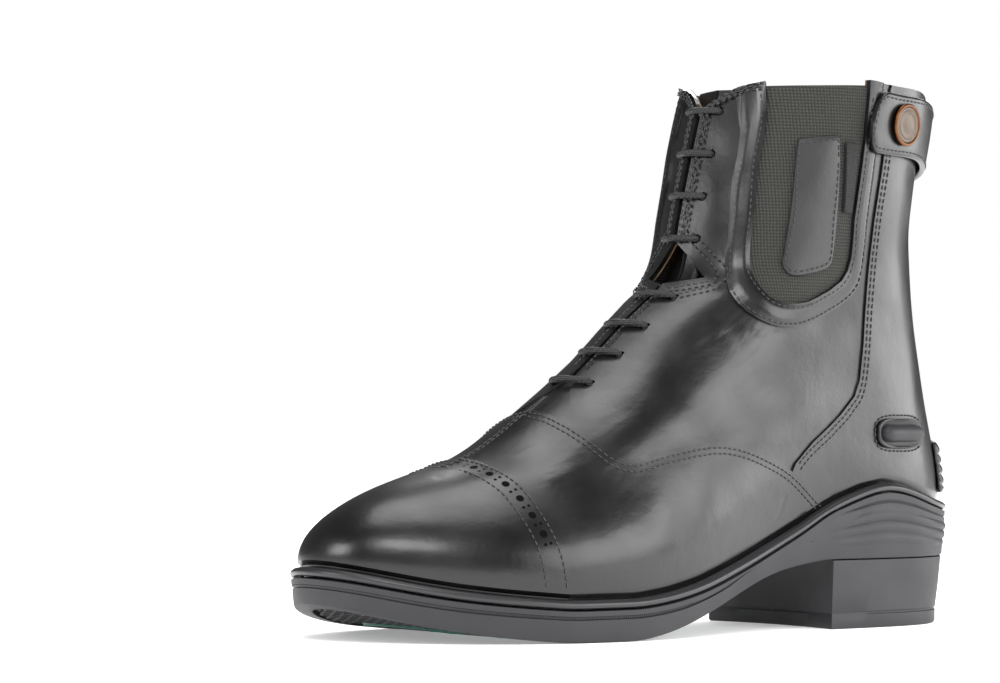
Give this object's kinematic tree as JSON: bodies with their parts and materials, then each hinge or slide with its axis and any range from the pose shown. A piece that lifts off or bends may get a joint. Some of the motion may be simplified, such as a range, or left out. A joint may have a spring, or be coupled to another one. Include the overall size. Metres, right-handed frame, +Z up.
{
  "type": "paddock boot",
  "caption": "Ankle-high leather riding boot with elastic lacing in front, elastic side gussets, a snap strap at the back, a cup sole and a block heel.",
  "frame": {"origin": "centre of the boot's box, on the floor under the sole", "axes": "-X to the toe, -Y to the outer side of the foot, +Z up"},
  "size_m": [0.2776, 0.0974, 0.1895],
  "materials": {
    "upper_leather": "smooth semi-gloss leather",
    "sole_rubber": "matte moulded rubber",
    "welt_rubber": "glossy rolled bead",
    "insole_board": "covered fibre board",
    "elastic": "woven elastic",
    "cord": "braided round elastic",
    "zip_tape": "closed zip on woven tape",
    "trim_rubber": "moulded trim",
    "snap_metal": "antiqued press stud",
    "inserts": "coloured moulded inserts"
  },
  "bodies": {
    "root": {"upper": "upper_leather", "tongue": "upper_leather", "patch_lateral": "upper_leather", "patch_medial": "upper_leather", "strap": "upper_leather", "label_tab": "elastic", "gusset_lateral": "elastic", "gusset_medial": "elastic", "outsole": "sole_rubber", "heel": "sole_rubber", "welt": "welt_rubber", "insole": "insole_board", "lace": "cord", "zip": "zip_tape", "heel_tab": "trim_rubber", "spur_rest_lateral": "trim_rubber", "spur_rest_medial": "trim_rubber", "snap": "snap_metal", "bar_front": "inserts", "bar_rear": "inserts", "waist_bar": "inserts", "plate": "inserts"}
  },
  "joints": []
}
